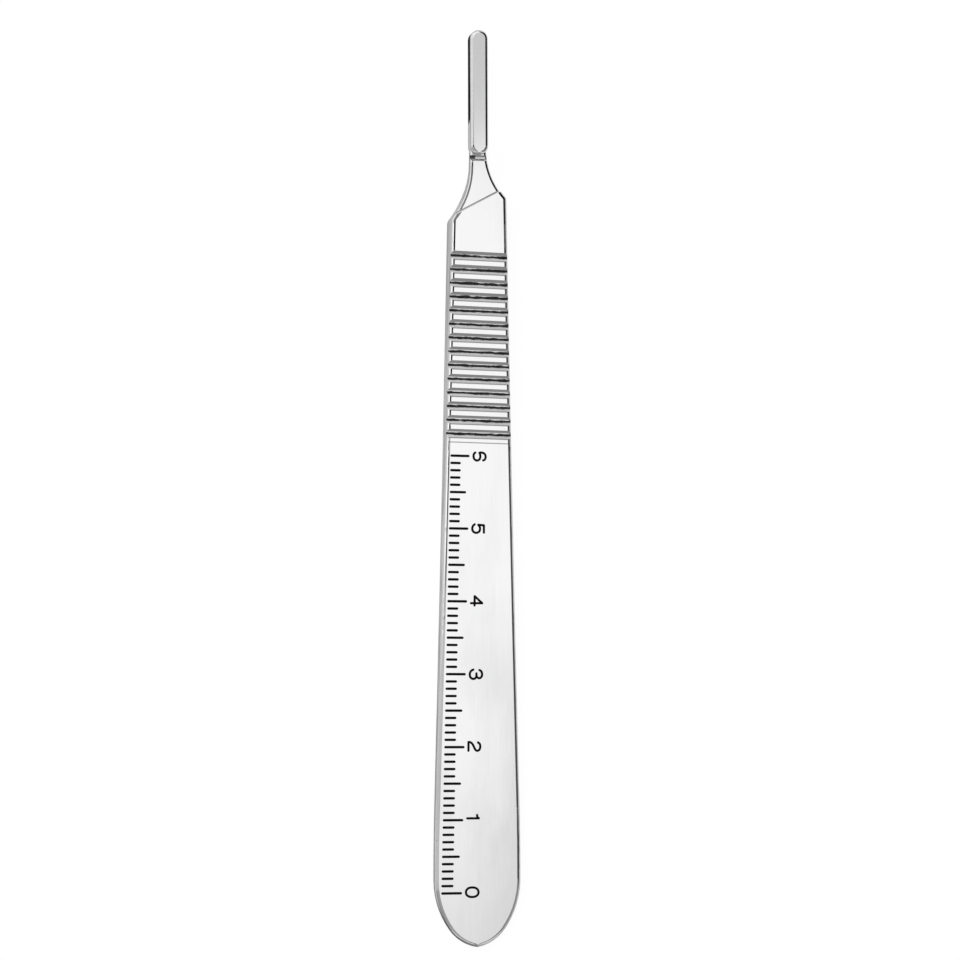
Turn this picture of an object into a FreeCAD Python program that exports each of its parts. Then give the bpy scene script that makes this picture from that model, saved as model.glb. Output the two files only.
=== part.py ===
import FreeCAD, Part
import os
from math import asin, cos, radians, sin, sqrt, tan

# Scalpel handle of the pattern no. 3, one piece of stainless steel, in millimetres.
# It lies on its back: +Z is the face with the scale, +Y points to the blade post,
# the origin is under the middle of the length, on the plane that it rests on.
# "Along" is measured from the tip of the tail, "across" from the middle line.

# Lengths along the handle, each one starts where the last one ends
body_length = 100.2         # tip of the tail to the corner of the left shoulder
neck_length = 9.03          # that corner to the rear of the post
post_length = 17.37         # rear of the post to its tip
shoulder_lead = 3.1         # how much nearer to the tip the right shoulder sits

# Plan of the body
tail_width = 12.14          # widest place, near the tail
shoulder_width = 7.96       # where the sides begin their last straight run
straight_run = 2.6          # length of that run, up to the left shoulder corner
tail_tip_radius = 5.9       # the two arcs that meet in the point of the tail
tail_point_shift = 0.93     # their centres lie this much beyond the middle line
tail_end_radius = 11.7      # the two flanks of the rounded tail
belly_radius = 350.0        # slow turn from the widest place into the side
belly_angle = 1.62          # how far that turn goes, in degrees
shoulder_radius_left = 1.2
shoulder_radius_right = 0.7

# Thickness of the body
shoulder_thickness = 3.72
tail_thickness = 1.25
front_edge_radius = 0.55
back_edge_radius = 0.5

# Neck between the shoulders and the post
waist_width = 2.34
flank_length_left = 7.5     # run of the hollow left flank
flank_length_right = 6.8
neck_edge_radius = 0.44
back_hollow_length = 7.6    # run in which the back rises to the underside of the post
back_hollow_start = 2.2     # from the left shoulder corner to the foot of that rise
back_crest_radius = 3.0     # rounding of the crest at the foot of the rise

# Seat of the blade and the oblique step behind it
step_angle = 28.3           # against the cross direction, in degrees
step_distance = 2.35        # middle of the step, from the left shoulder corner
seat_depth = 0.77           # the seat lies this much under the front at the step
seat_plate_thickness = 1.25
step_relief_radius = 0.2    # round groove along the foot of the step
step_relief_offset = 0.13   # its middle, from the wall of the step

# Post that holds the blade
post_width = 2.5
blade_thickness = 0.4
blade_clearance = 0.05      # between the blade and the lip above it
lip_thickness = 0.46
lip_edge_radius = 0.43
post_bottom_radius = 0.25
slot_depth = 0.42           # how deep the blade slots reach in from each side
slot_below_seat = 0.85      # how far the slots open under the plane of the seat
slot_heel = 4.37            # from the rear of the post to the end of the slots
slot_runout_radius = 12.0   # the cutter leaves the slots along this arc
relief_width = 0.8          # shallow channel across the neck behind the post
relief_depth = 0.2

# Cross grooves of the grip, on the front and on the back
groove_count = 14
groove_pitch = 1.89
first_groove = 5.13         # first groove, from the left shoulder corner
groove_width = 1.2
groove_depth = 0.46
groove_bottom_radius = 0.14
groove_skew = 1.4           # the right end lies nearer to the tail, in degrees

# Places that follow from the sizes
overall_length = body_length + neck_length + post_length
shoulder_at_left = body_length
shoulder_at_right = body_length + shoulder_lead
post_rear = body_length + neck_length
post_half = post_width / 2
waist_half = waist_width / 2
tail_half = tail_width / 2
shoulder_half = shoulder_width / 2
front_slope = (shoulder_thickness - tail_thickness) / body_length
step_at = body_length + step_distance


def front_height(along):
    """Height of the front face over the back, at a place along the handle."""
    return tail_thickness + front_slope * along


seat_height = front_height(step_at) - seat_depth
post_bottom = seat_height - seat_plate_thickness
lip_bottom = seat_height + blade_thickness + blade_clearance
post_top = lip_bottom + lip_thickness
slot_bottom = seat_height - slot_below_seat
above = post_top + shoulder_thickness


def spot(across, along, up=0.0):
    """A point of the handle in the frame of the part."""
    return FreeCAD.Vector(across, along - overall_length / 2, up)


def plan_arc(centre, first, last, side):
    """Plan arc about a centre between two points, as vectors of across and along."""
    towards = (first - centre) + (last - centre)
    towards.normalize()
    crown = centre + towards * (first - centre).Length
    points = [spot(side * place.x, place.y) for place in (first, crown, last)]
    return Part.Arc(*points).toShape()


def plan_line(first, last, side):
    """Straight plan edge between two vectors of across and along."""
    return Part.makeLine(spot(side * first.x, first.y), spot(side * last.x, last.y))


def tail_curve():
    """Centres and meeting points of the tip, end and belly arcs of the tail."""
    tip_rise = sqrt(tail_tip_radius ** 2 - tail_point_shift ** 2)
    apart = tail_end_radius - tail_tip_radius
    apart_across = tail_half - tail_end_radius + tail_point_shift
    widest_at = tip_rise + sqrt(apart ** 2 - apart_across ** 2)
    tip_centre = FreeCAD.Vector(-tail_point_shift, tip_rise, 0)
    end_centre = FreeCAD.Vector(tail_half - tail_end_radius, widest_at, 0)
    outward = tip_centre - end_centre
    outward.normalize()
    touch = tip_centre + outward * tail_tip_radius
    widest = FreeCAD.Vector(tail_half, widest_at, 0)
    belly_centre = widest - FreeCAD.Vector(belly_radius, 0, 0)
    turn = radians(belly_angle)
    belly_end = belly_centre + FreeCAD.Vector(cos(turn), sin(turn), 0) * belly_radius
    return tip_centre, touch, end_centre, widest, belly_centre, belly_end


def arc_centre(start, direction, end):
    """Centre of the arc that leaves a point in a direction and reaches another point."""
    normal = FreeCAD.Vector(-direction.y, direction.x, 0)
    run = end - start
    return start + normal * (run.dot(run) / (2 * run.dot(normal)))


def corner_rounding(corner, direction, flank_centre, radius):
    """Centre and end points of the rounding between a straight side and a hollow flank."""
    inward = FreeCAD.Vector(-direction.y, direction.x, 0)
    flank_radius = (corner - flank_centre).Length
    offset = corner + inward * radius - flank_centre
    along = offset.dot(direction)
    reach = (flank_radius + radius) ** 2 - offset.dot(offset) + along ** 2
    centre = flank_centre + offset - direction * (along + sqrt(reach))
    on_side = centre - inward * radius
    on_flank = flank_centre + (centre - flank_centre) * (flank_radius / (flank_radius + radius))
    return centre, on_side, on_flank


def side_edges(side, corner_at, flank_length, corner_radius):
    """Plan edges of one side, from the tip of the tail to the end of the neck strip."""
    tip_centre, touch, end_centre, widest, belly_centre, belly_end = tail_curve()
    tail_tip = FreeCAD.Vector(0, 0, 0)
    turn = radians(belly_angle)
    leaving = FreeCAD.Vector(-sin(turn), cos(turn), 0)
    side_end = FreeCAD.Vector(shoulder_half, body_length - straight_run, 0)
    side_centre = arc_centre(belly_end, leaving, side_end)
    spoke = side_end - side_centre
    spoke.normalize()
    direction = FreeCAD.Vector(spoke.y, -spoke.x, 0)
    if direction.y < 0:
        direction = direction * -1
    run = (corner_at - side_end.y) / direction.y
    corner = side_end + direction * run
    waist_from = FreeCAD.Vector(waist_half, corner_at + flank_length, 0)
    flank_centre = arc_centre(waist_from, FreeCAD.Vector(0, -1, 0), corner)
    centre, on_side, on_flank = corner_rounding(corner, direction, flank_centre, corner_radius)
    strip_end = FreeCAD.Vector(waist_half, post_rear + post_half, 0)
    return [plan_arc(tip_centre, tail_tip, touch, side),
            plan_arc(end_centre, touch, widest, side),
            plan_arc(belly_centre, widest, belly_end, side),
            plan_arc(side_centre, belly_end, side_end, side),
            plan_line(side_end, on_side, side),
            plan_arc(centre, on_side, on_flank, side),
            plan_arc(flank_centre, on_flank, waist_from, side),
            plan_line(waist_from, strip_end, side)]


def plan_prism():
    """Upright prism over the plan of body and neck."""
    left = side_edges(-1, shoulder_at_left, flank_length_left, shoulder_radius_left)
    right = side_edges(1, shoulder_at_right, flank_length_right, shoulder_radius_right)
    strip_end = post_rear + post_half
    cap = Part.makeLine(spot(-waist_half, strip_end), spot(waist_half, strip_end))
    wire = Part.Wire(Part.__sortEdges__(left + right + [cap]))
    return Part.Face(wire).extrude(FreeCAD.Vector(0, 0, above))


def long_profile():
    """Prism across the handle over its side view: flat back, hollow rise, sloped front."""
    reach = tail_width
    foot = body_length + back_hollow_start
    head = foot + back_hollow_length
    both_radii = (back_hollow_length ** 2 + post_bottom ** 2) / (2 * post_bottom)
    hollow_radius = both_radii - back_crest_radius
    turn = asin(back_hollow_length / both_radii)

    def at(along, up):
        return spot(-reach, along, up)

    def on_crest(part):
        return at(foot + back_crest_radius * sin(turn * part),
                  back_crest_radius * (1 - cos(turn * part)))

    def on_hollow(part):
        return at(head - hollow_radius * sin(turn * part),
                  post_bottom - hollow_radius * (1 - cos(turn * part)))

    before = -tail_half
    beyond = overall_length + tail_half
    edges = [Part.makeLine(at(before, 0), at(foot, 0)),
             Part.Arc(on_crest(0), on_crest(0.5), on_crest(1)).toShape(),
             Part.Arc(on_hollow(1), on_hollow(0.5), on_hollow(0)).toShape(),
             Part.makeLine(at(head, post_bottom), at(beyond, post_bottom)),
             Part.makeLine(at(beyond, post_bottom), at(beyond, front_height(beyond))),
             Part.makeLine(at(beyond, front_height(beyond)), at(before, front_height(before))),
             Part.makeLine(at(before, front_height(before)), at(before, 0))]
    wire = Part.Wire(Part.__sortEdges__(edges))
    return Part.Face(wire).extrude(FreeCAD.Vector(2 * reach, 0, 0))


def faces_looking(shape, upward, height_test):
    """Faces that look up or down and whose middle passes a test."""
    found = []
    for face in shape.Faces:
        low, high, left, right = face.ParameterRange
        normal = face.normalAt((low + high) / 2, (left + right) / 2)
        if normal.z * upward > 0.7 and height_test(face.CenterOfMass):
            found.append(face)
    return found


def rim_edges(faces, skip):
    """Edges that belong to only one of the faces and that the test doesn't skip."""
    edges = []
    for face in faces:
        for edge in face.Edges:
            shared = sum(1 for other in faces for mate in other.Edges if mate.isSame(edge))
            if shared == 1 and not skip(edge):
                edges.append(edge)
    return edges


def at_strip_end(edge):
    """True for the straight end of the neck strip, which the post covers."""
    strip_end = spot(0, post_rear + post_half).y
    return all(abs(vertex.Point.y - strip_end) < 0.01 for vertex in edge.Vertexes)


def body_blank():
    """Body and neck as one bar, with its long edges rounded on both faces."""
    bar = plan_prism().common(long_profile())
    front = faces_looking(bar, 1, lambda middle: True)
    bar = bar.makeFillet(front_edge_radius, rim_edges(front, at_strip_end))
    back = faces_looking(bar, -1, lambda middle: middle.z < post_bottom + 0.01)
    return bar.makeFillet(back_edge_radius, rim_edges(back, at_strip_end))


def step_prism():
    """Everything above the seat and beyond the oblique step."""
    lean = tan(radians(step_angle))
    reach = tail_width
    beyond = overall_length + post_length
    points = [spot(-reach, step_at - reach * lean, seat_height),
              spot(reach, step_at + reach * lean, seat_height),
              spot(reach, beyond, seat_height),
              spot(-reach, beyond, seat_height)]
    face = Part.Face(Part.makePolygon(points + [points[0]]))
    return face.extrude(FreeCAD.Vector(0, 0, above))


def on_step_line(edge):
    """True for an edge that runs along the foot of the oblique step."""
    lean = tan(radians(step_angle))
    foot = spot(0, step_at).y
    return all(abs(vertex.Point.y - foot - vertex.Point.x * lean) < 0.02
               for vertex in edge.Vertexes)


def step_relief():
    """Thin round cutter along the foot of the oblique step."""
    lean = radians(step_angle)
    way = FreeCAD.Vector(cos(lean), sin(lean), 0)
    off_wall = FreeCAD.Vector(-sin(lean), cos(lean), 0) * step_relief_offset
    start = spot(0, step_at, seat_height) + off_wall - way * tail_width
    return Part.makeCylinder(step_relief_radius, 2 * tail_width, start, way)


def seated_body():
    """The bar with the seat of the blade cut in and the neck edges rounded."""
    body = body_blank().cut(step_prism())
    seat = faces_looking(body, 1, lambda middle: abs(middle.z - seat_height) < 0.001)
    edges = rim_edges(seat, lambda edge: on_step_line(edge) or at_strip_end(edge))
    return body.makeFillet(neck_edge_radius, edges).cut(step_relief())


def slot_tool(side):
    """Cutter for one blade slot, open at the tip, with a curved end at the heel."""
    floor = post_half - slot_depth
    heel = post_rear + slot_heel
    run = sqrt(slot_runout_radius ** 2 - (slot_runout_radius - slot_depth) ** 2)
    middle_run = run / 2
    middle_depth = slot_runout_radius - sqrt(slot_runout_radius ** 2 - middle_run ** 2)
    outside = post_width
    beyond = overall_length + post_half
    deep = heel + run
    edges = [Part.Arc(spot(side * post_half, heel, slot_bottom),
                      spot(side * (floor + middle_depth), deep - middle_run, slot_bottom),
                      spot(side * floor, deep, slot_bottom)).toShape(),
             Part.makeLine(spot(side * floor, deep, slot_bottom),
                           spot(side * floor, beyond, slot_bottom)),
             Part.makeLine(spot(side * floor, beyond, slot_bottom),
                           spot(side * outside, beyond, slot_bottom)),
             Part.makeLine(spot(side * outside, beyond, slot_bottom),
                           spot(side * outside, heel, slot_bottom)),
             Part.makeLine(spot(side * outside, heel, slot_bottom),
                           spot(side * post_half, heel, slot_bottom))]
    wire = Part.Wire(Part.__sortEdges__(edges))
    return Part.Face(wire).extrude(FreeCAD.Vector(0, 0, lip_bottom - slot_bottom))


def blade_post():
    """Post with round ends, a lip over the blade and an undercut slot on each side."""
    near = post_rear + post_half
    far = overall_length - post_half
    edges = [Part.makeLine(spot(-post_half, near, post_bottom), spot(-post_half, far, post_bottom)),
             Part.Arc(spot(-post_half, far, post_bottom), spot(0, overall_length, post_bottom),
                      spot(post_half, far, post_bottom)).toShape(),
             Part.makeLine(spot(post_half, far, post_bottom), spot(post_half, near, post_bottom)),
             Part.Arc(spot(post_half, near, post_bottom), spot(0, post_rear, post_bottom),
                      spot(-post_half, near, post_bottom)).toShape()]
    post = Part.Face(Part.Wire(edges)).extrude(FreeCAD.Vector(0, 0, post_top - post_bottom))
    top = faces_looking(post, 1, lambda middle: True)
    post = post.makeFillet(lip_edge_radius, rim_edges(top, lambda edge: False))
    bottom = faces_looking(post, -1, lambda middle: True)
    post = post.makeFillet(post_bottom_radius, rim_edges(bottom, lambda edge: False))
    return post.cut(slot_tool(-1)).cut(slot_tool(1))


def relief_tool():
    """Round-bottomed cutter for the shallow channel behind the post."""
    half = relief_width / 2
    radius = (half ** 2 + relief_depth ** 2) / (2 * relief_depth)
    centre = spot(-tail_width, post_rear - half, seat_height - relief_depth + radius)
    return Part.makeCylinder(radius, 2 * tail_width, centre, FreeCAD.Vector(1, 0, 0))


def groove_tool(along, surface, up):
    """V-shaped cutter with a round bottom, set across the body in a face."""
    half = groove_width / 2
    rise = groove_depth
    lean = half / groove_depth
    flat = sqrt(1 + lean ** 2)
    sharp_depth = groove_depth + groove_bottom_radius * (flat / lean - 1)
    sharp_lean = half / sharp_depth
    angle_long = sqrt(1 + sharp_lean ** 2)
    touch_across = groove_bottom_radius / angle_long
    touch_depth = groove_depth - groove_bottom_radius * (1 - sharp_lean / angle_long)
    reach = tail_width

    def at(offset, depth):
        return FreeCAD.Vector(-reach, offset, surface - up * depth)

    wide = half + sharp_lean * rise
    edges = [Part.makeLine(at(-wide, -rise), at(-touch_across, touch_depth)),
             Part.Arc(at(-touch_across, touch_depth), at(0, groove_depth),
                      at(touch_across, touch_depth)).toShape(),
             Part.makeLine(at(touch_across, touch_depth), at(wide, -rise)),
             Part.makeLine(at(wide, -rise), at(-wide, -rise))]
    tool = Part.Face(Part.Wire(edges)).extrude(FreeCAD.Vector(2 * reach, 0, 0))
    tool.rotate(FreeCAD.Vector(0, 0, 0), FreeCAD.Vector(0, 0, 1), -groove_skew)
    tool.translate(spot(0, along))
    return tool


def grip_tools():
    """Cutters of all grip grooves, front and back."""
    tools = []
    for number in range(groove_count):
        along = body_length - first_groove - number * groove_pitch
        tools.append(groove_tool(along, front_height(along), 1))
        tools.append(groove_tool(along, 0.0, -1))
    return tools


def scalpel_handle():
    """The whole handle as one solid."""
    handle = seated_body().cut(relief_tool())
    handle = handle.fuse(blade_post())
    handle = handle.cut(grip_tools()).removeSplitter()
    return handle


os.makedirs("parts", exist_ok=True)
handle = scalpel_handle()
if handle.ShapeType == "Compound" and len(handle.Solids) == 1:
    handle = handle.Solids[0]
handle.exportStep("parts/scalpel_handle.step")
box = handle.BoundBox
print("scalpel_handle", handle.isValid(), len(handle.Solids), round(handle.Volume, 1),
      [round(value, 3) for value in (box.XMin, box.XMax, box.YMin, box.YMax, box.ZMin, box.ZMax)])
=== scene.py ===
"""Dressed scene of a flat steel scalpel handle with a cross-grooved grip and a scale."""

import logging
import math
from dataclasses import dataclass, field
from enum import Enum

import bmesh
import bpy
from mathutils import Matrix, Vector


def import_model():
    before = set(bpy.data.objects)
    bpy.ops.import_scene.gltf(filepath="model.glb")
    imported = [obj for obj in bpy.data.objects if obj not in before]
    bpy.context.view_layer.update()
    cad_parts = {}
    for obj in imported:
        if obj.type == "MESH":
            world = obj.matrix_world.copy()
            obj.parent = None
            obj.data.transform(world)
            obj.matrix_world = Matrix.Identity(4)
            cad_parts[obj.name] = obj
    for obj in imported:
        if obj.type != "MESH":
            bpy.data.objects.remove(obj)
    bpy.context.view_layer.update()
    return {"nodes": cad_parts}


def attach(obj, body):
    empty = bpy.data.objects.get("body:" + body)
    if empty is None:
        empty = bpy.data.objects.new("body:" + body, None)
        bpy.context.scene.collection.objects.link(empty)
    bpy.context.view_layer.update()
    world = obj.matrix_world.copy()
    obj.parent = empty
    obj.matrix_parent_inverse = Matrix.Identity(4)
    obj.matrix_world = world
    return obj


MM = 0.001
WHITE = (1.0, 1.0, 1.0, 1.0)
Point = tuple[float, float]
Triple = tuple[float, float, float]
Band = tuple[float, float, float, float]

log = logging.getLogger("scalpel_handle")


def smooth_path(points: list[Point], steps: int = 5) -> list[Point]:
    """Run a smooth curve through a few points.

    Args:
        points: The places that the curve goes through.
        steps: How many short runs each stretch between two points gets.

    Returns:
        The points of the curve, the given ones among them.
    """
    ends = [points[0], *points, points[-1]]
    path: list[Point] = []
    for before, start, end, after in zip(ends, ends[1:], ends[2:], ends[3:]):
        for step in range(steps):
            t = step / steps
            path.append(tuple(
                0.5 * (2 * start[k] + (end[k] - before[k]) * t
                       + (2 * before[k] - 5 * start[k] + 4 * end[k] - after[k]) * t ** 2
                       + (3 * start[k] - before[k] - 3 * end[k] + after[k]) * t ** 3)
                for k in (0, 1)))
    path.append(points[-1])
    return path


def ring_path(centre: Point, half_width: float, half_height: float, squareness: float,
              count: int = 48) -> list[Point]:
    """Lay a closed oval round a centre.

    Args:
        centre: Middle of the oval.
        half_width: Half of its width.
        half_height: Half of its height.
        squareness: 2 for an ellipse, more for a squarer oval.
        count: How many points the oval gets.

    Returns:
        The points of the oval, the first one not repeated.
    """
    path: list[Point] = []
    for step in range(count):
        turn = 2 * math.pi * step / count
        reach_x = math.copysign(abs(math.cos(turn)) ** (2 / squareness), math.cos(turn))
        reach_y = math.copysign(abs(math.sin(turn)) ** (2 / squareness), math.sin(turn))
        path.append((centre[0] + half_width * reach_x, centre[1] + half_height * reach_y))
    return path


class NodeBoard:
    """Small helper that lays shader nodes and joins them."""

    def __init__(self, tree: bpy.types.NodeTree) -> None:
        """Start with an empty board on a node tree."""
        tree.nodes.clear()
        self.tree = tree

    def add(self, kind: str, settings: dict[str, object] | None = None,
            **inputs: object) -> bpy.types.Node:
        """Lay one node.

        Args:
            kind: Blender's name of the node type.
            settings: Attributes of the node itself.
            **inputs: Values or sockets for its inputs, by name with _ for a blank,
                or by number as i0, i1 and so on.

        Returns:
            The new node.
        """
        node = self.tree.nodes.new(kind)
        for name, value in (settings or {}).items():
            setattr(node, name, value)
        for name, value in inputs.items():
            if name[0] == "i" and name[1:].isdigit():
                socket = node.inputs[int(name[1:])]
            else:
                socket = node.inputs[name.replace("_", " ")]
            if isinstance(value, bpy.types.NodeSocket):
                self.tree.links.new(value, socket)
            else:
                socket.default_value = value
        return node

    def math(self, operation: str, first: object,
             second: object = 0.0) -> bpy.types.NodeSocket:
        """Join one or two values by an arithmetic node.

        Args:
            operation: Blender's name of the operation.
            first: A value or a socket.
            second: A value or a socket.

        Returns:
            The result's socket.
        """
        return self.add("ShaderNodeMath", {"operation": operation}, i0=first,
                        i1=second).outputs[0]

    def product(self, first: object, *others: object) -> bpy.types.NodeSocket:
        """Multiply two or more values.

        Args:
            first: A value or a socket.
            *others: More of them.

        Returns:
            The product's socket.
        """
        for other in others:
            first = self.math("MULTIPLY", first, other)
        return first

    def mix(self, part: object, first: object, second: object) -> bpy.types.NodeSocket:
        """Mix two values.

        Args:
            part: How much of the second value there is.
            first: A value or a socket.
            second: A value or a socket.

        Returns:
            The mixed value's socket.
        """
        return self.add("ShaderNodeMix", {"data_type": "FLOAT"}, i0=part, i2=first,
                        i3=second).outputs[0]

    def blend(self, part: object, first: object, second: object) -> bpy.types.NodeSocket:
        """Mix two colours.

        Args:
            part: How much of the second colour there is.
            first: A colour or a socket.
            second: A colour or a socket.

        Returns:
            The mixed colour's socket.
        """
        first = (*first, 1.0) if isinstance(first, tuple) else first
        second = (*second, 1.0) if isinstance(second, tuple) else second
        return self.add("ShaderNodeMix", {"data_type": "RGBA"}, i0=part, i6=first,
                        i7=second).outputs[2]

    def scaled(self, colour: bpy.types.NodeSocket, factor: object) -> bpy.types.NodeSocket:
        """Make a colour darker.

        Args:
            colour: The socket of the colour.
            factor: How much of it stays.

        Returns:
            The darker colour's socket.
        """
        return self.add("ShaderNodeVectorMath", {"operation": "SCALE"}, i0=colour,
                        Scale=factor).outputs[0]

    def ease(self, value: object, low: float, high: float, bottom: object = 0.0,
             top: object = 1.0) -> bpy.types.NodeSocket:
        """Turn a value into a soft step between two levels.

        Args:
            value: The socket that is read.
            low: Where the step begins.
            high: Where it ends.
            bottom: Level before it.
            top: Level after it.

        Returns:
            The result's socket.
        """
        node = self.add("ShaderNodeMapRange", {"interpolation_type": "SMOOTHSTEP"})
        for number, item in enumerate((value, low, high, bottom, top)):
            if isinstance(item, bpy.types.NodeSocket):
                self.tree.links.new(item, node.inputs[number])
            else:
                node.inputs[number].default_value = item
        return node.outputs[0]

    def band(self, value: bpy.types.NodeSocket, start: float, start_soft: float,
             stop: float, stop_soft: float) -> bpy.types.NodeSocket:
        """Make a soft-edged band over a value.

        Args:
            value: The socket that is read.
            start: Middle of the rising edge.
            start_soft: Width of the rising edge.
            stop: Middle of the falling edge.
            stop_soft: Width of the falling edge.

        Returns:
            1 inside the band, 0 outside it.
        """
        rise = self.ease(value, start - start_soft / 2, start + start_soft / 2)
        fall = self.ease(value, stop - stop_soft / 2, stop + stop_soft / 2, 1.0, 0.0)
        return self.product(rise, fall)


def new_material(name: str) -> tuple[bpy.types.Material, NodeBoard]:
    """Make an empty node material.

    Args:
        name: Name of the material.

    Returns:
        The material and the board of its node tree.
    """
    material = bpy.data.materials.new(name)
    material.use_nodes = True
    return material, NodeBoard(material.node_tree)


@dataclass(frozen=True)
class Grain:
    """A stretched noise, with its fineness given per metre along X, Y and Z."""

    scale: Triple
    detail: float
    rough: float
    shift: Triple = (0.0, 0.0, 0.0)

    def lay(self, board: NodeBoard, place: bpy.types.NodeSocket) -> bpy.types.NodeSocket:
        """Lay the noise in nodes.

        Args:
            board: The board of the material.
            place: The coordinates that it is read at.

        Returns:
            The noise value, about 0.5 in the middle.
        """
        spread = board.add("ShaderNodeMapping", Vector=place, Location=self.shift,
                           Scale=self.scale)
        cloud = board.add("ShaderNodeTexNoise", {"noise_dimensions": "3D"}, Scale=1.0,
                          Detail=self.detail, Roughness=self.rough,
                          Vector=spread.outputs[0])
        return cloud.outputs[0]


class Surface:
    """Where a point of the handle lies and which way it faces, as sockets."""

    def __init__(self, board: NodeBoard) -> None:
        """Read the place and the direction of a point.

        Args:
            board: The board of the material.
        """
        read = board.add("ShaderNodeTexCoord").outputs
        self.place = read["Object"]
        self.across, self.along, self.height = board.add(
            "ShaderNodeSeparateXYZ", Vector=self.place).outputs
        self.to_right, self.to_post, self.rise = board.add(
            "ShaderNodeSeparateXYZ", Vector=read["Normal"]).outputs
        self.sideways = board.math("ABSOLUTE", self.to_right)
        self.upright = board.math("ABSOLUTE", self.rise)


@dataclass(frozen=True)
class GripPattern:
    """Where the grip grooves lie, in metres."""

    count: int = 14
    pitch: float = 1.89 * MM
    nearest: float = 31.77 * MM
    half_width: float = 0.6 * MM
    skew: float = 1.4

    def offset(self, board: NodeBoard, surface: Surface) -> bpy.types.NodeSocket:
        """Work out in nodes how far a point lies off the bottom of its nearest groove.

        Args:
            board: The board of the material.
            surface: The point.

        Returns:
            The distance in metres, positive towards the tail, which grows on beyond the
            grip's two ends.
        """
        lean = board.product(surface.across, math.tan(math.radians(self.skew)))
        down = board.math("SUBTRACT", self.nearest, board.math("ADD", surface.along, lean))
        row = board.math("ROUND", board.math("DIVIDE", down, self.pitch))
        row = board.math("MINIMUM", board.math("MAXIMUM", row, 0.0), self.count - 1.0)
        return board.math("SUBTRACT", down, board.product(row, self.pitch))


@dataclass(frozen=True)
class Recesses:
    """Painted shade and dark reflections in narrow places at the post, the neck's edge and the
    step, in metres.
    """

    soft: float = 0.04 * MM
    slot_levels: Point = (2.14 * MM, 3.47 * MM)
    slot_start: Point = (50.1 * MM, 50.4 * MM)
    slot_floor_rise: Point = (0.4, 0.8)
    slot_tones: Point = (0.55, 0.10)
    saddle: Point = (45.42 * MM, 45.90 * MM)
    saddle_over: float = 2.6 * MM
    saddle_middle: float = 0.29 * MM
    saddle_reach: Point = (0.60 * MM, 0.80 * MM)
    saddle_tones: Point = (0.66, 0.07)
    step_at: float = 39.25 * MM
    step_angle: float = 28.3
    relief_levels: Point = (2.70 * MM, 3.00 * MM)
    relief_top_soft: float = 0.008 * MM
    relief_width: float = 0.36 * MM
    relief_tone: float = 0.74
    rim_along: Band = (36.3 * MM, 0.4 * MM, 44.9 * MM, 0.2 * MM)
    rim_rise: Band = (0.84, 0.08, 0.9965, 0.004)
    rim_tone: float = 0.22

    def tone(self, board: NodeBoard, surface: Surface) -> bpy.types.NodeSocket:
        """Work out in nodes how much of its colour the steel keeps at a point.

        Args:
            board: The board of the material.
            surface: The point.

        Returns:
            The factor of the colour, 1 outside the recesses.
        """
        soft = self.soft
        # Painted shade in the blade slot: darkest on its shelf, lighter on its inner wall.
        slot = board.product(board.band(surface.height, self.slot_levels[0], soft,
                                        self.slot_levels[1], soft),
                             board.ease(surface.along, *self.slot_start))
        slot_tone = board.ease(surface.upright, *self.slot_floor_rise, *self.slot_tones)
        # Painted shade and dark reflections over the saddle, darkest at its two ends.
        saddle = board.product(board.band(surface.along, self.saddle[0], 2 * soft,
                                          self.saddle[1], 2 * soft),
                               board.ease(surface.height, self.saddle_over,
                                          self.saddle_over + soft))
        off_middle = board.math("ABSOLUTE", board.math("SUBTRACT", surface.across,
                                                       self.saddle_middle))
        saddle_tone = board.ease(off_middle, *self.saddle_reach, *self.saddle_tones)
        # Painted shade in the relief at the foot of the step.
        lean = math.radians(self.step_angle)
        past = board.math("SUBTRACT", board.math("SUBTRACT", surface.along, self.step_at),
                          board.product(surface.across, math.tan(lean)))
        past = board.product(past, math.cos(lean))
        relief = board.product(board.band(past, 0.0, soft, self.relief_width, soft),
                               board.band(surface.height, self.relief_levels[0], soft,
                                          self.relief_levels[1], self.relief_top_soft))
        # Painted dark reflection: a dark line on the fillet from the shoulder to the neck.
        rim = board.product(board.band(surface.along, *self.rim_along),
                            board.band(surface.rise, *self.rim_rise),
                            board.math("SUBTRACT", 1.0, relief))
        tone: object = 1.0
        for part, level in ((slot, slot_tone), (saddle, saddle_tone),
                            (relief, self.relief_tone), (rim, self.rim_tone)):
            tone = board.mix(part, tone, level)
        return tone


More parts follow.
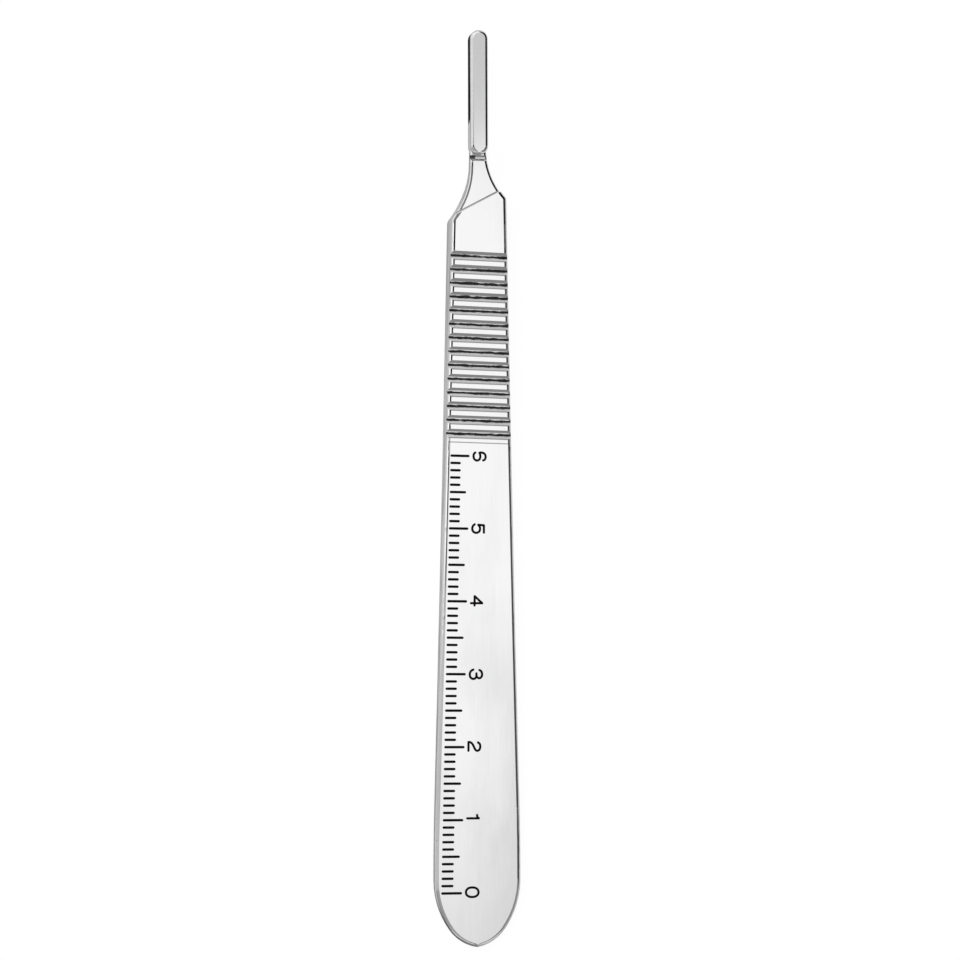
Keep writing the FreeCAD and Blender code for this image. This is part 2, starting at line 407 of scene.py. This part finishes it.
@dataclass(frozen=True)
class EdgeShade:
    """Painted shade on the steel round the tail, at the neck and along the back edge, in metres.
    """

    tail_rise: Point = (0.55, 0.90)
    tail_turn: Point = (-0.45, -0.15)
    tail_along: Point = (-56.5 * MM, -53.0 * MM)
    tail_sides: Point = (-0.2, 0.2)
    tail_tones: Point = (0.15, 0.45)
    steep_rise: Point = (0.35, 0.65)
    neck_start: Point = (38.5 * MM, 40.5 * MM)
    neck_stop: Point = (46.0 * MM, 46.5 * MM)
    neck_tone: float = 0.72
    back_edge: Point = (0.75 * MM, 1.25 * MM)
    tail_half: Point = (-42.0 * MM, -2.0 * MM)
    tail_half_tones: Point = (0.18, 0.95)
    grip_half: Point = (6.0 * MM, 24.0 * MM)
    grip_half_tones: Point = (1.0, 0.5)

    def tone(self, board: NodeBoard, surface: Surface) -> bpy.types.NodeSocket:
        """Work out in nodes how much of its colour the steel keeps at a point.

        Args:
            board: The board of the material.
            surface: The point.

        Returns:
            The factor of the colour, 1 away from those edges.
        """
        along = surface.along
        tail = board.product(board.ease(surface.rise, *self.tail_rise, 1.0, 0.0),
                             board.ease(surface.to_post, *self.tail_turn, 1.0, 0.0),
                             board.ease(along, *self.tail_along, 1.0, 0.0))
        tail_tone = board.ease(surface.to_right, *self.tail_sides, *self.tail_tones)
        steep = board.ease(surface.rise, *self.steep_rise, 1.0, 0.0)
        neck = board.product(steep, board.ease(along, *self.neck_start),
                             board.ease(along, *self.neck_stop, 1.0, 0.0))
        low = board.product(steep, board.ease(surface.height, *self.back_edge, 1.0, 0.0))
        low_tone = board.product(board.ease(along, *self.tail_half, *self.tail_half_tones),
                                 board.ease(along, *self.grip_half, *self.grip_half_tones))
        tone: object = 1.0
        for part, level in ((low, low_tone), (neck, self.neck_tone), (tail, tail_tone)):
            tone = board.mix(part, tone, level)
        return tone


@dataclass(frozen=True)
class Zones:
    """How much a point belongs to the sides, a groove, its lower wall with its painted
    highlight, the painted shade along its bottom or the painted dark reflection beside it,
    as sockets.
    """

    side: bpy.types.NodeSocket
    milled: bpy.types.NodeSocket
    lower: bpy.types.NodeSocket
    groove_shade: bpy.types.NodeSocket
    edge_reflection: bpy.types.NodeSocket


@dataclass(frozen=True)
class PolishedSteel:
    """Polished stainless steel, fine lengthwise grind lines, satin sides, painted shade,
    highlights and reflections.
    """

    name: str = "polished_steel"
    grip: GripPattern = GripPattern()
    recesses: Recesses = Recesses()
    shade: EdgeShade = EdgeShade()

    colour: Triple = (0.80, 0.80, 0.80)
    dull_colour: Triple = (0.765, 0.765, 0.77)
    # Partly a duller satin finish, partly painted shade: darker sides for the shaded floor that
    # they mirror beside the handle.
    dull_and_shaded_side_colour: Triple = (0.64, 0.64, 0.645)
    side_streak_colour: Triple = (0.32, 0.32, 0.33)
    groove_colour: Triple = (0.80, 0.80, 0.80)
    # Painted highlight: the lower wall of each groove, which faces the light, a little lighter.
    lower_wall_highlight_colour: Triple = (0.84, 0.84, 0.84)
    # Painted shade: a dark line along the bottom of each groove.
    groove_shade_colour: Triple = (0.05, 0.05, 0.051)
    # Painted dark reflection: a thin dark line on the edge where each groove's lower wall meets
    # the face.
    edge_reflection_colour: Triple = (0.28, 0.28, 0.285)

    roughness: Point = (0.05, 0.10)
    side_roughness: float = 0.17
    groove_roughness: float = 0.13
    groove_shade_roughness: float = 0.45

    grind: Grain = Grain((9000.0, 160.0, 9000.0), 4.0, 0.6)
    lines: Grain = Grain((3800.0, 30.0, 3800.0), 2.0, 0.5, (7.0, 3.0, 1.0))
    haze: Grain = Grain((150.0, 60.0, 150.0), 4.0, 0.55, (2.0, 9.0, 4.0))
    cutter_marks: Grain = Grain((220.0, 14000.0, 14000.0), 3.0, 0.6, (5.0, 2.0, 8.0))
    ragged: Grain = Grain((900.0, 3000.0, 3000.0), 3.0, 0.6, (1.0, 8.0, 3.0))
    smear: Grain = Grain((2400.0, 90.0, 2400.0), 3.0, 0.55, (9.0, 4.0, 6.0))
    wave: Grain = Grain((70.0, 45.0, 70.0), 1.0, 0.4, (4.0, 6.0, 2.0))
    haze_share: float = 0.6
    haze_levels: Point = (0.45, 0.75)
    line_levels: Point = (0.3, 0.75)
    line_tones: Point = (1.0, 0.985)
    gloss_levels: Point = (0.3, 0.72)
    smear_levels: Point = (0.46, 0.60)
    smear_sideways: Point = (0.5, 0.75)
    bump_strength: float = 0.5
    grind_depth: float = 0.0010 * MM
    wave_depth: float = 0.008 * MM

    side_upright: Point = (0.12, 0.42)
    face_sideways: Point = (0.25, 0.55)
    wall_soft: float = 0.1 * MM
    groove_shade_half_width: float = 0.165 * MM
    groove_shade_ragged: float = 0.45 * MM
    groove_shade_soft: float = 0.05 * MM
    edge_reflection_at: float = 0.60 * MM
    last_edge_reflection_at: float = 1.19 * MM
    edge_reflection_reach: Point = (0.033 * MM, 0.11 * MM)

    def zones(self, board: NodeBoard, surface: Surface) -> Zones:
        """Tell the parts of the handle apart that have a finish of their own or painted shade,
        highlight or reflection.

        Args:
            board: The board of the material.
            surface: The point.

        Returns:
            How much the point belongs to each.
        """
        offset = self.grip.offset(board, surface)
        reach = board.math("ABSOLUTE", offset)
        half_width = self.grip.half_width
        milled = board.ease(reach, half_width - self.wall_soft, half_width, 1.0, 0.0)
        # Painted shade along the bottom of each groove, with a ragged edge.
        ragged = board.math("SUBTRACT", self.ragged.lay(board, surface.place), 0.5)
        edge = board.math("ADD", self.groove_shade_half_width,
                          board.product(ragged, self.groove_shade_ragged))
        groove_shade = board.ease(board.math("SUBTRACT", reach, edge), -self.groove_shade_soft,
                           self.groove_shade_soft, 1.0, 0.0)
        # Painted dark reflection along the edge of each groove's lower wall.
        off_edge_reflection = board.math("MINIMUM", *(
            board.math("ABSOLUTE", board.math("SUBTRACT", offset, at))
            for at in (self.edge_reflection_at, self.last_edge_reflection_at)))
        edge_reflection = board.ease(off_edge_reflection, *self.edge_reflection_reach, 1.0, 0.0)
        face = board.ease(surface.sideways, *self.face_sideways, 1.0, 0.0)
        return Zones(side=board.ease(surface.upright, *self.side_upright, 1.0, 0.0),
                     milled=board.product(milled, face),
                     lower=board.ease(offset, 0.0, self.wall_soft),
                     groove_shade=board.product(groove_shade, face), edge_reflection=board.product(edge_reflection, face))

    def tone(self, board: NodeBoard, surface: Surface, zones: Zones,
             haze: bpy.types.NodeSocket) -> bpy.types.NodeSocket:
        """Work out the colour.

        Args:
            board: The board of the material.
            surface: The point.
            zones: How much it belongs to each part.
            haze: The noise that tells where the polish is dull.

        Returns:
            The colour's socket.
        """
        lines = self.lines.lay(board, surface.place)
        tone = board.blend(board.ease(haze, *self.haze_levels), self.colour,
                           self.dull_colour)
        tone = board.scaled(tone, board.ease(lines, *self.line_levels, *self.line_tones))
        smear = self.smear.lay(board, surface.place)
        smear = board.product(board.ease(smear, *self.smear_levels),
                              board.ease(surface.sideways, *self.smear_sideways))
        wall = board.blend(smear, self.dull_and_shaded_side_colour, self.side_streak_colour)
        # The sides take the darker colour: part duller finish, part painted shade.
        tone = board.blend(zones.side, tone, wall)
        # Painted shade round the tail, at the neck and along the back edge.
        tone = board.scaled(tone, self.shade.tone(board, surface))
        # Each groove's lower wall gets a painted highlight, its bottom painted shade and its edge
        # a painted dark reflection.
        flank = board.blend(zones.lower, self.groove_colour, self.lower_wall_highlight_colour)
        for part, colour in ((zones.milled, flank), (zones.edge_reflection, self.edge_reflection_colour),
                             (zones.groove_shade, self.groove_shade_colour)):
            tone = board.blend(part, tone, colour)
        # Painted shade and painted dark reflections in the recesses.
        return board.scaled(tone, self.recesses.tone(board, surface))

    def polish(self, board: NodeBoard, zones: Zones, haze: bpy.types.NodeSocket,
               grind: bpy.types.NodeSocket) -> bpy.types.NodeSocket:
        """Work out the roughness.

        Args:
            board: The board of the material.
            zones: How much the point belongs to each part.
            haze: The noise that tells where the polish is dull.
            grind: The noise of the grind lines.

        Returns:
            The roughness's socket.
        """
        dull = board.math("ADD", board.product(haze, self.haze_share),
                          board.product(grind, 1.0 - self.haze_share))
        rough = board.ease(dull, *self.gloss_levels, *self.roughness)
        for part, level in ((zones.side, self.side_roughness),
                            (zones.milled, self.groove_roughness),
                            (zones.groove_shade, self.groove_shade_roughness)):
            rough = board.mix(part, rough, level)
        return rough

    def relief(self, board: NodeBoard, surface: Surface, zones: Zones,
               grind: bpy.types.NodeSocket) -> bpy.types.NodeSocket:
        """Lay the fine grind lines or cutter marks over a slow wave.

        Args:
            board: The board of the material.
            surface: The point.
            zones: How much it belongs to each part.
            grind: The noise of the grind lines.

        Returns:
            The normal's socket.
        """
        grain = board.mix(zones.milled, grind, self.cutter_marks.lay(board, surface.place))
        fine = board.add("ShaderNodeBump", None, Strength=self.bump_strength,
                         Distance=self.grind_depth, Height=grain)
        return board.add("ShaderNodeBump", None, Strength=self.bump_strength,
                         Distance=self.wave_depth,
                         Height=self.wave.lay(board, surface.place),
                         Normal=fine.outputs[0]).outputs[0]

    def make(self) -> bpy.types.Material:
        """Build the material.

        Returns:
            The finished material.
        """
        material, board = new_material(self.name)
        surface = Surface(board)
        zones = self.zones(board, surface)
        haze = self.haze.lay(board, surface.place)
        grind = self.grind.lay(board, surface.place)
        shader = board.add("ShaderNodeBsdfPrincipled", None, Metallic=1.0,
                           Base_Color=self.tone(board, surface, zones, haze),
                           Roughness=self.polish(board, zones, haze, grind),
                           Normal=self.relief(board, surface, zones, grind))
        board.add("ShaderNodeOutputMaterial", None, Surface=shader.outputs[0])
        return material


@dataclass(frozen=True)
class MarkingInk:
    """Matt black marking on the steel, a little uneven and worn."""

    name: str = "marking_black"
    colour: Triple = (0.003, 0.003, 0.003)
    worn_colour: Triple = (0.016, 0.016, 0.017)
    worn_levels: Point = (0.5, 0.8)
    roughness: Point = (0.45, 0.7)
    rough_levels: Point = (0.3, 0.7)
    shine: float = 0.12
    patches: Grain = Grain((2500.0, 2500.0, 2500.0), 4.0, 0.6)
    pits: Grain = Grain((14000.0, 14000.0, 14000.0), 2.0, 0.5, (3.0, 1.0, 6.0))
    pit_strength: float = 0.4
    pit_depth: float = 0.004 * MM

    def make(self) -> bpy.types.Material:
        """Build the material.

        Returns:
            The finished material.
        """
        material, board = new_material(self.name)
        place = board.add("ShaderNodeTexCoord").outputs["Object"]
        patch = self.patches.lay(board, place)
        bump = board.add("ShaderNodeBump", None, Strength=self.pit_strength,
                         Distance=self.pit_depth, Height=self.pits.lay(board, place))
        shader = board.add("ShaderNodeBsdfPrincipled", None,
                           Base_Color=board.blend(board.ease(patch, *self.worn_levels),
                                                  self.colour, self.worn_colour),
                           Roughness=board.ease(patch, *self.rough_levels,
                                                *self.roughness),
                           Specular_IOR_Level=self.shine, Normal=bump.outputs[0])
        board.add("ShaderNodeOutputMaterial", None, Surface=shader.outputs[0])
        return material


class TickKind(Enum):
    """The three lengths of the scale's strokes."""

    CENTIMETRE = "centimetre"
    HALF = "half centimetre"
    MILLIMETRE = "millimetre"


@dataclass(frozen=True)
class Stroke:
    """One pen stroke of a figure, in millimetres from the figure's lower left corner."""

    points: tuple[Point, ...]
    smooth: bool = True
    closed: bool = False

    def path(self) -> list[Point]:
        """The points that the pen follows."""
        return smooth_path(list(self.points)) if self.smooth else list(self.points)


@dataclass(frozen=True)
class Figure:
    """Shape of one figure: its strokes and how far it stands off its tick."""

    strokes: tuple[Stroke, ...]
    width: float
    offset: float = 0.0


# The figures 0 to 6, stroke by stroke.
FIGURES: tuple[Figure, ...] = (
    Figure((Stroke(tuple(ring_path((0.65, 0.88), 0.65, 0.88, 2.25)), smooth=False, closed=True),),
           width=1.30, offset=0.12),
    Figure((Stroke(((0.46, 0.0), (0.46, 1.64)), smooth=False),
            Stroke(((0.46, 1.64), (0.29, 1.43), (0.0, 1.39)))),
           width=0.46, offset=0.47),
    Figure((Stroke(((0.06, 1.34), (0.25, 1.58), (0.635, 1.66), (1.02, 1.55), (1.20, 1.26),
                    (1.05, 0.97), (0.65, 0.76), (0.21, 0.51), (0.03, 0.24), (0.0, 0.0))),
            Stroke(((0.0, 0.0), (1.19, 0.0)), smooth=False)),
           width=1.20, offset=0.10),
    Figure((Stroke(((0.05, 1.36), (0.22, 1.61), (0.57, 1.74), (0.95, 1.67), (1.17, 1.39),
                    (1.07, 1.09), (0.82, 0.955), (0.51, 0.94))),
            Stroke(((0.82, 0.955), (1.17, 0.79), (1.27, 0.49), (1.13, 0.17), (0.76, 0.0),
                    (0.38, 0.06), (0.13, 0.25), (0.0, 0.50)))),
           width=1.27, offset=0.0),
    Figure((Stroke(((0.96, 1.58), (0.96, 0.0)), smooth=False),
            Stroke(((0.94, 1.57), (0.0, 0.52)), smooth=False),
            Stroke(((0.0, 0.52), (1.28, 0.50)), smooth=False)),
           width=1.28, offset=0.09),
    Figure((Stroke(((1.06, 1.64), (0.05, 1.64)), smooth=False),
            Stroke(((0.05, 1.64), (0.0, 0.85)), smooth=False),
            Stroke(((0.0, 0.85), (0.25, 1.03), (0.57, 1.10), (0.95, 0.95), (1.11, 0.54),
                    (0.94, 0.14), (0.56, 0.0), (0.18, 0.09), (-0.06, 0.34)))),
           width=1.11, offset=0.0),
    Figure((Stroke(((1.09, 1.36), (0.98, 1.58), (0.62, 1.71), (0.23, 1.60), (0.05, 1.31),
                    (0.01, 0.95))),
            Stroke(((0.05, 0.83), (0.28, 0.92), (0.60, 0.96), (0.96, 0.84), (1.13, 0.50),
                    (0.96, 0.14), (0.56, 0.0), (0.21, 0.07), (0.04, 0.25)))),
           width=1.13, offset=-0.03),
)


@dataclass
class MillimetreScale:
    """The scale on the front face: sixty-one ticks and the figures 0 to 6."""

    half_length: float = 63.3
    tail_front: float = 1.25
    front_slope: float = 0.0246507
    zero_at: float = 7.537
    pitch: float = 1.0
    tick_count: int = 61
    turn: float = 0.9
    left_ends: Point = (-5.20, -4.06)
    right_ends: Point = (-2.26, -1.34)
    pen: float = 0.35
    figure_pen: float = 0.325
    figure_gap: float = 0.54
    shorter: dict[TickKind, float] = field(default_factory=lambda: {
        TickKind.CENTIMETRE: 0.0, TickKind.HALF: 0.4, TickKind.MILLIMETRE: 1.22})
    sunk: float = 0.01
    raised: float = 0.006
    layer: float = 0.001
    cap_steps: int = 6

    def kind(self, number: int) -> TickKind:
        """Tell which of the three lengths a tick has.

        Args:
            number: Place on the scale, in millimetres from its zero.

        Returns:
            The length.
        """
        if number % 10 == 0:
            return TickKind.CENTIMETRE
        return TickKind.HALF if number % 5 == 0 else TickKind.MILLIMETRE

    def on_axis(self, across: float, number: float) -> Point:
        """Place on the face of a point of the scale.

        Args:
            across: Distance from the middle line of the handle.
            number: Place on the scale, in millimetres from its zero.

        Returns:
            The distances across and along the handle.
        """
        middle = (self.left_ends[0] + self.left_ends[1]) / 2
        along = self.zero_at + number * self.pitch
        return across, along - (across - middle) * math.tan(math.radians(self.turn))

    def ends(self, number: float) -> Point:
        """Find where a full tick ends, across the handle.

        Args:
            number: Place on the scale, in millimetres from its zero.

        Returns:
            Its left and its right end.
        """
        part = number / (self.tick_count - 1)
        left = self.left_ends[0] + (self.left_ends[1] - self.left_ends[0]) * part
        right = self.right_ends[0] + (self.right_ends[1] - self.right_ends[0]) * part
        return left, right

    def lift(self, place: Point, height: float) -> Vector:
        """Turn a place on the face into a point of the frame, in metres.

        Args:
            place: The distances across and along the handle.
            height: How far over the face the point is.

        Returns:
            The point.
        """
        across, along = place
        up = self.tail_front + self.front_slope * along + height
        return Vector((across, along - self.half_length, up)) * MM

    def outline(self, path: list[Point], width: float, closed: bool) -> list[list[Point]]:
        """Give a pen path its width.

        Args:
            path: The points that the pen follows on the face.
            width: Width of the pen.
            closed: True for a ring.

        Returns:
            The left and the right side of a ring, or the one loop round an open line
            with its round ends.
        """
        half = width / 2
        sides: list[list[Point]] = [[], []]
        count = len(path)
        for number, (x, y) in enumerate(path):
            before = path[number - 1] if number or closed else path[number]
            last = number == count - 1 and not closed
            after = path[number] if last else path[(number + 1) % count]
            way = Vector((after[0] - before[0], after[1] - before[1])).normalized()
            sides[0].append((x - way.y * half, y + way.x * half))
            sides[1].append((x + way.y * half, y - way.x * half))
        if closed:
            return sides
        loop = list(sides[1])
        loop += self.cap(path[-1], sides[1][-1])
        loop += reversed(sides[0])
        loop += self.cap(path[0], sides[0][0])
        return [loop]

    def cap(self, centre: Point, start: Point) -> list[Point]:
        """Points of a round stroke end, without its two corners.

        Args:
            centre: End of the pen path.
            start: The corner where the round end begins.

        Returns:
            The points in between, turning to the left.
        """
        arm = Vector((start[0] - centre[0], start[1] - centre[1]))
        points: list[Point] = []
        for step in range(1, self.cap_steps):
            turned = Matrix.Rotation(math.pi * step / self.cap_steps, 2) @ arm
            points.append((centre[0] + turned.x, centre[1] + turned.y))
        return points

    def slab(self, name: str, loops: list[list[Point]], order: int = 0) -> bpy.types.Object:
        """Make one closed thin slab, from a loop or from the two sides of a ring.

        Args:
            name: Name of the object.
            loops: The loops that outline returns.
            order: Number of the stroke in its figure. Each is a trace thicker than the one
                before, so that no two crossing slabs share a plane.

        Returns:
            The new object, linked to the scene.
        """
        mesh = bmesh.new()
        levels = []
        thicker = order * self.layer
        for height in (-self.sunk - thicker, self.raised + thicker):
            levels.append([[mesh.verts.new(self.lift(place, height)) for place in loop]
                           for loop in loops])
        low, high = levels
        if len(loops) == 1:
            mesh.faces.new(high[0])
            mesh.faces.new(reversed(low[0]))
        else:
            count = len(loops[0])
            for here in range(count):
                there = (here + 1) % count
                mesh.faces.new((high[0][here], high[1][here], high[1][there],
                                high[0][there]))
                mesh.faces.new((low[0][there], low[1][there], low[1][here],
                                low[0][here]))
        for bottom, top in zip(low, high):
            count = len(bottom)
            for here in range(count):
                there = (here + 1) % count
                mesh.faces.new((bottom[here], bottom[there], top[there], top[here]))
        bmesh.ops.recalc_face_normals(mesh, faces=mesh.faces)
        data = bpy.data.meshes.new(name)
        mesh.to_mesh(data)
        mesh.free()
        piece = bpy.data.objects.new(name, data)
        bpy.context.scene.collection.objects.link(piece)
        return piece

    def merged(self, name: str, parts: list[bpy.types.Object]) -> bpy.types.Object:
        """Unite crossing slabs into one clean mesh.

        Args:
            name: Name of the result.
            parts: The slabs, which are used up.

        Returns:
            The united object.
        """
        first = parts[0]
        first.name = name
        for other in parts[1:]:
            union = first.modifiers.new("union", "BOOLEAN")
            union.operation = "UNION"
            union.solver = "EXACT"
            union.object = other
            graph = bpy.context.evaluated_depsgraph_get()
            made = bpy.data.meshes.new_from_object(first.evaluated_get(graph))
            first.modifiers.clear()
            first.data = made
            bpy.data.objects.remove(other)
        first.data.name = name
        return first

    def joined(self, name: str, parts: list[bpy.types.Object]) -> bpy.types.Object:
        """Collect separate slabs in one object.

        Args:
            name: Name of the result.
            parts: The slabs, which are used up.

        Returns:
            The object that holds them all.
        """
        mesh = bmesh.new()
        for part in parts:
            mesh.from_mesh(part.data)
            bpy.data.objects.remove(part)
        data = bpy.data.meshes.new(name)
        mesh.to_mesh(data)
        mesh.free()
        piece = bpy.data.objects.new(name, data)
        bpy.context.scene.collection.objects.link(piece)
        return piece

    def ticks(self) -> bpy.types.Object:
        """Build all ticks as one piece.

        Returns:
            The piece.
        """
        parts = []
        for number in range(self.tick_count):
            left, right = self.ends(number)
            right -= self.shorter[self.kind(number)]
            inset = self.pen / 2
            path = [self.on_axis(left + inset, number), self.on_axis(right - inset, number)]
            parts.append(self.slab(f"tick_{number}", self.outline(path, self.pen, False)))
        return self.joined("scale_ticks", parts)

    def figure(self, value: int) -> bpy.types.Object:
        """Build one figure, its top turned to the right side of the handle.

        Args:
            value: The figure, 0 to 6.

        Returns:
            The piece.
        """
        shape = FIGURES[value]
        number = 10.0 * value
        base = self.ends(number)[1] + self.figure_gap
        parts = []
        for order, stroke in enumerate(shape.strokes):
            path = [self.on_axis(base + y, number + shape.offset + shape.width / 2 - x)
                    for x, y in stroke.path()]
            loops = self.outline(path, self.figure_pen, stroke.closed)
            parts.append(self.slab(f"stroke_{value}_{order}", loops, order))
        return self.merged(f"scale_figure_{value}", parts)

    def build(self, ink: bpy.types.Material, body: str) -> list[bpy.types.Object]:
        """Build the whole scale and let it ride.

        Args:
            ink: The material of the marks.
            body: The body that it rides on.

        Returns:
            The pieces.
        """
        pieces = [self.ticks()] + [self.figure(value) for value in range(len(FIGURES))]
        for piece in pieces:
            piece.data.materials.clear()
            piece.data.materials.append(ink)
            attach(piece, body)
        return pieces


@dataclass
class HandleDressing:
    """The steel body as it comes from the frame, with its finish."""

    node: str = "scalpel_handle"

    def dress(self, solid: bpy.types.Object, steel: bpy.types.Material) -> bpy.types.Object:
        """Give the solid its steel.

        Args:
            solid: The node of the frame.
            steel: The finished material.

        Returns:
            The same object.
        """
        for slot in solid.material_slots:
            slot.material = steel
        return solid


@dataclass(frozen=True)
class Panel:
    """A soft-edged patch of the studio's sky, in degrees from straight above.

    Each direction has four numbers: where the patch starts, how soft that edge is,
    where it stops and how soft that edge is.
    """

    to_right: Band
    to_post: Band
    level: float


ALL_ROUND = (-185.0, 1.0, 185.0, 1.0)


@dataclass
class Studio:
    """Plain pale floor, soft light from all round and the camera."""

    sky_level: float = 0.78
    background: float = 1.0
    # Each panel covers a part of those before it.
    panels: tuple[Panel, ...] = (
        # From the post's side, from straight along the handle and low on the tail's side.
        Panel(ALL_ROUND, (16, 4, 60, 10), 1.15),
        Panel(ALL_ROUND, (60, 10, 95, 1), 0.62),
        Panel(ALL_ROUND, (-95, 1, -62, 6), 0.27),
        # Left of the handle, for the rounding of its left edge.
        Panel((-78, 6, -36, 4), (-0.3, 1.5, 34, 14), 1.25),
        Panel((-62, 3, -48, 3), (10, 1.5, 40, 8), 0.45),
        Panel((-36, 4, 9, 2), (-2.0, 1.2, 9.9, 0.6), 0.01),
        Panel((-95, 4, 9, 2), (-13, 3, -2.0, 1.2), 0.62),
        Panel((-6, 6, 9, 2), (-13, 3, -1.4, 1.4), 0.50),
        Panel((-100, 8, -34, 8), (-45, 8, -13, 3), 0.35),
        Panel((-34, 8, 5, 3), (-45, 8, -13, 3), 0.40),
        # Right of the handle, for the rounding of its right edge.
        Panel((22, 4, 84, 6), (-38, 8, -12, 3), 0.30),
        Panel((15, 2, 80, 8), (-12, 3, 8, 4), 0.08),
        Panel((15, 2, 92, 4), (8, 4, 54, 8), 0.0),
        # Above the handle, for the grooves and the front face.
        Panel((3, 3, 30, 3), (-62, 8, -30, 4), 0.35),
        Panel((3, 3, 22, 3), (-30, 4, -16, 4), 1.1),
        Panel((8, 3, 16, 3), (9, 1, 16, 4), 0.74),
        Panel((8, 3, 16, 3), (-16, 4, 0, 1), 0.80),
        Panel((8, 3, 16, 3), (-9.8, 9, 10.1, 1.8), 1.17),
        Panel((13.6, 1.6, 16, 3), (-13, 3, -4, 4), 0.60),
    )
    floor_tone: float = 0.82
    floor_tone_seen: float = 0.18
    floor_glow_seen: float = 0.918
    floor_glow_mirrored: float = 0.25
    floor_grain: Grain = Grain((300.0, 300.0, 300.0), 3.0, 0.5)
    grain_levels: Point = (0.2, 0.8)
    grain_tones: Point = (0.985, 1.0)
    floor_radius: float = 3.0
    floor_sides: int = 96
    aim: Triple = (0.4835 * MM, 0.97 * MM, 1.2 * MM)
    lean_left: float = 12.5
    lean_tail: float = 2.5
    distance: float = 350 * MM
    roll: float = -0.00305
    lens: float = 94.78
    sensor: float = 36.0
    clip: Point = (0.01, 10.0)

    def world(self) -> bpy.types.World:
        """Build the sky: white behind the object, panels and flags for the steel.

        Returns:
            The finished world.
        """
        world = bpy.data.worlds.new("studio_light")
        bpy.context.scene.world = world
        world.use_nodes = True
        board = NodeBoard(world.node_tree)
        way = board.add("ShaderNodeTexCoord").outputs["Generated"]
        parts = board.add("ShaderNodeSeparateXYZ", Vector=way).outputs
        right = board.product(math.degrees(1.0), board.math("ARCTAN2", parts[0], parts[2]))
        post = board.product(math.degrees(1.0), board.math("ARCSINE", parts[1]))
        level: object = self.sky_level
        for panel in self.panels:
            inside = board.product(board.band(right, *panel.to_right),
                                   board.band(post, *panel.to_post))
            level = board.mix(inside, level, panel.level)
        seen = board.add("ShaderNodeLightPath").outputs["Is Camera Ray"]
        shader = board.add("ShaderNodeBackground", None, Color=WHITE,
                           Strength=board.mix(seen, level, self.background))
        board.add("ShaderNodeOutputWorld", None, Surface=shader.outputs[0])
        return world

    def floor(self) -> bpy.types.Object:
        """Build the round floor that the handle lies on.

        Returns:
            The floor.
        """
        mesh = bmesh.new()
        bmesh.ops.create_circle(mesh, cap_ends=True, segments=self.floor_sides,
                                radius=self.floor_radius)
        data = bpy.data.meshes.new("floor")
        mesh.to_mesh(data)
        mesh.free()
        piece = bpy.data.objects.new("floor", data)
        bpy.context.scene.collection.objects.link(piece)
        data.materials.append(self.floor_material())
        return piece

    def floor_material(self) -> bpy.types.Material:
        """Make the floor pale: lit by the sky, with a glow for the camera and the steel.

        Returns:
            The finished material.
        """
        material, board = new_material("pale_floor")
        path = board.add("ShaderNodeLightPath").outputs
        seen = path["Is Camera Ray"]
        mirrored = board.math("MAXIMUM", path["Is Glossy Ray"], path["Is Transmission Ray"])
        glow = board.math("ADD", board.product(mirrored, self.floor_glow_mirrored),
                          board.product(seen, self.floor_glow_seen))
        place = board.add("ShaderNodeTexCoord").outputs["Object"]
        grained = board.ease(self.floor_grain.lay(board, place), *self.grain_levels,
                             *self.grain_tones)
        tone = board.product(board.mix(seen, self.floor_tone, self.floor_tone_seen), grained)
        colour = board.add("ShaderNodeCombineColor", None, i0=tone, i1=tone, i2=tone)
        matt = board.add("ShaderNodeBsdfDiffuse", None, Color=colour.outputs[0])
        light = board.add("ShaderNodeEmission", None, Color=WHITE, Strength=glow)
        both = board.add("ShaderNodeAddShader", None, i0=matt.outputs[0],
                         i1=light.outputs[0])
        board.add("ShaderNodeOutputMaterial", None, Surface=both.outputs[0])
        return material

    def camera(self) -> bpy.types.Object:
        """Set the camera a little to the left and to the tail, above the handle.

        Returns:
            The camera.
        """
        lean, tilt = math.radians(self.lean_left), math.radians(self.lean_tail)
        back = Vector((-math.sin(lean) * math.cos(tilt), -math.sin(tilt),
                       math.cos(lean) * math.cos(tilt)))
        up = (Vector((0, 1, 0)) - back * back.y).normalized()
        right = up.cross(back)
        turned_right = right * math.cos(self.roll) + up * math.sin(self.roll)
        turned_up = up * math.cos(self.roll) - right * math.sin(self.roll)
        data = bpy.data.cameras.new("camera")
        data.lens = self.lens
        data.sensor_width = self.sensor
        data.clip_start, data.clip_end = self.clip
        camera = bpy.data.objects.new("camera", data)
        bpy.context.scene.collection.objects.link(camera)
        stand = Vector(self.aim) + back * self.distance
        pose = Matrix((turned_right, turned_up, back)).transposed().to_4x4()
        camera.matrix_world = Matrix.Translation(stand) @ pose
        bpy.context.scene.camera = camera
        return camera

    def build(self) -> None:
        """Build the world, the floor and the camera."""
        self.world()
        self.floor()
        self.camera()
        bpy.context.scene.view_settings.view_transform = "Standard"


def main() -> None:
    """Load the frame, dress the handle, mark the scale and set up the studio."""
    logging.basicConfig(level=logging.INFO, format="%(name)s: %(message)s")
    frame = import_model()
    studio = Studio()
    studio.build()
    log.info("studio: world, floor and camera")
    steel = PolishedSteel().make()
    ink = MarkingInk().make()
    handle = HandleDressing()
    solid = handle.dress(frame["nodes"][handle.node], steel)
    log.info("handle: %s in %s", solid.name, steel.name)
    for piece in MillimetreScale().build(ink, "root"):
        log.info("scale: %s, %d faces", piece.name, len(piece.data.polygons))


if __name__ == "__main__":
    main()
